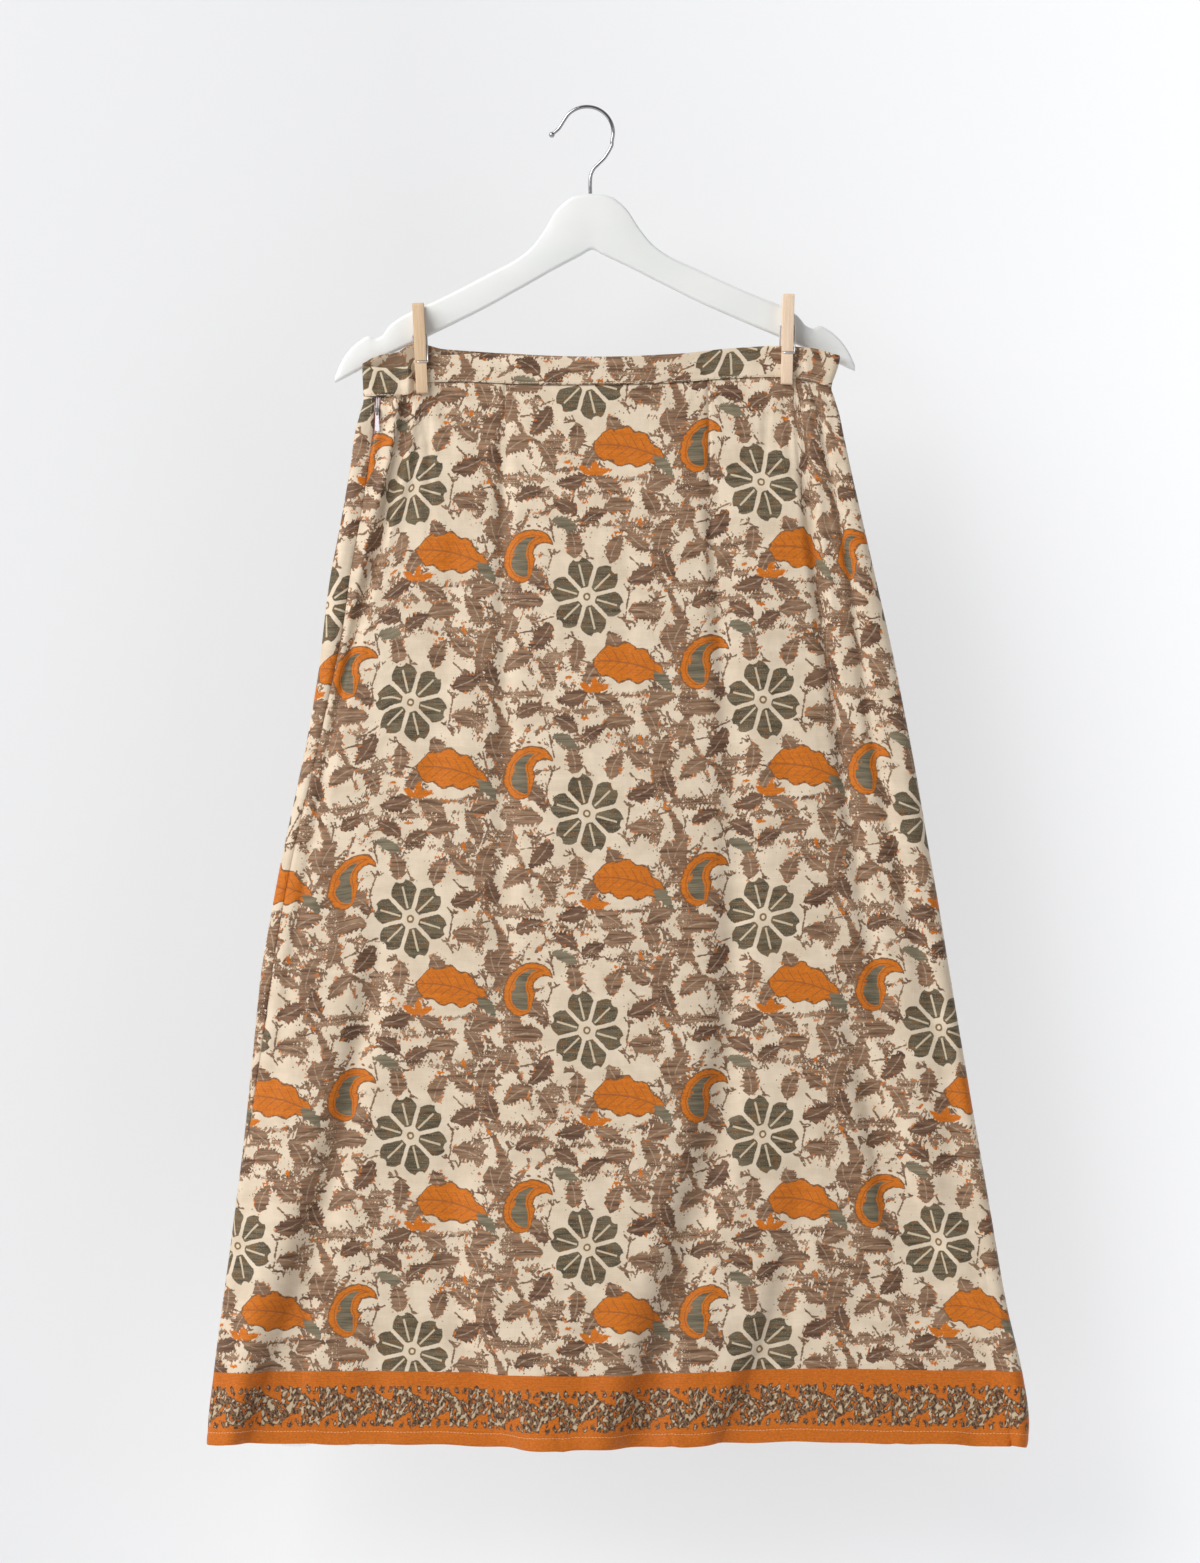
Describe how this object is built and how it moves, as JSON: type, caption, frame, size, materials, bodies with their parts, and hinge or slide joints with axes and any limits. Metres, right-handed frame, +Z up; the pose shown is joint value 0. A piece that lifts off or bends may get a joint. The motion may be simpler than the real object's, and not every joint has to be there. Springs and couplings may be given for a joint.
{
  "type": "a-line skirt on a clothes hanger",
  "caption": "Long A-line skirt with narrow waistband, darts, side zip and border print, hanging from clothes-pegs on a white wooden hanger.",
  "frame": {"origin": "inner top of the hanger's hook, where a rail carries it", "axes": "+Z up, +X across the skirt to the right as seen from its front, front of the skirt facing -Y"},
  "size_m": [0.6591, 0.0572, 1.083],
  "materials": {
    "printed_cloth": "fine slubbed weave with a mild sheen, printed in cream, taupe and orange",
    "hem_cloth": "fine weave, orange border ground",
    "zip_tape": "white woven tape",
    "zip_metal": "dull metal",
    "zip_tab": "off-white lacquer",
    "white_wood": "white satin paint on wood",
    "chrome_wire": "polished",
    "beech": "bare sanded beech",
    "spring_wire": "bright galvanised wire"
  },
  "bodies": {
    "root": {"skirt_front": "printed_cloth", "skirt_back": "printed_cloth", "waistband": "printed_cloth", "hem_front": "hem_cloth", "hem_back": "hem_cloth", "zip_tape_front": "zip_tape", "zip_tape_back": "zip_tape", "zip_slider": "zip_metal", "hanger_body": "white_wood", "hanger_hook": "chrome_wire", "hook_ball": "chrome_wire", "peg_left_leg_front": "beech", "peg_left_leg_back": "beech", "peg_left_spring": "spring_wire", "peg_right_leg_front": "beech", "peg_right_leg_back": "beech", "peg_right_spring": "spring_wire"},
    "pull": {"zip_pull": "zip_tab"}
  },
  "joints": [
    {"name": "pull_hinge", "type": "hinge", "parent": "root", "child": "pull", "pos_m": [-0.16899, -0.01969, -0.24646], "axis": [-1, 0, 0], "range_deg": [0, 135]}
  ]
}
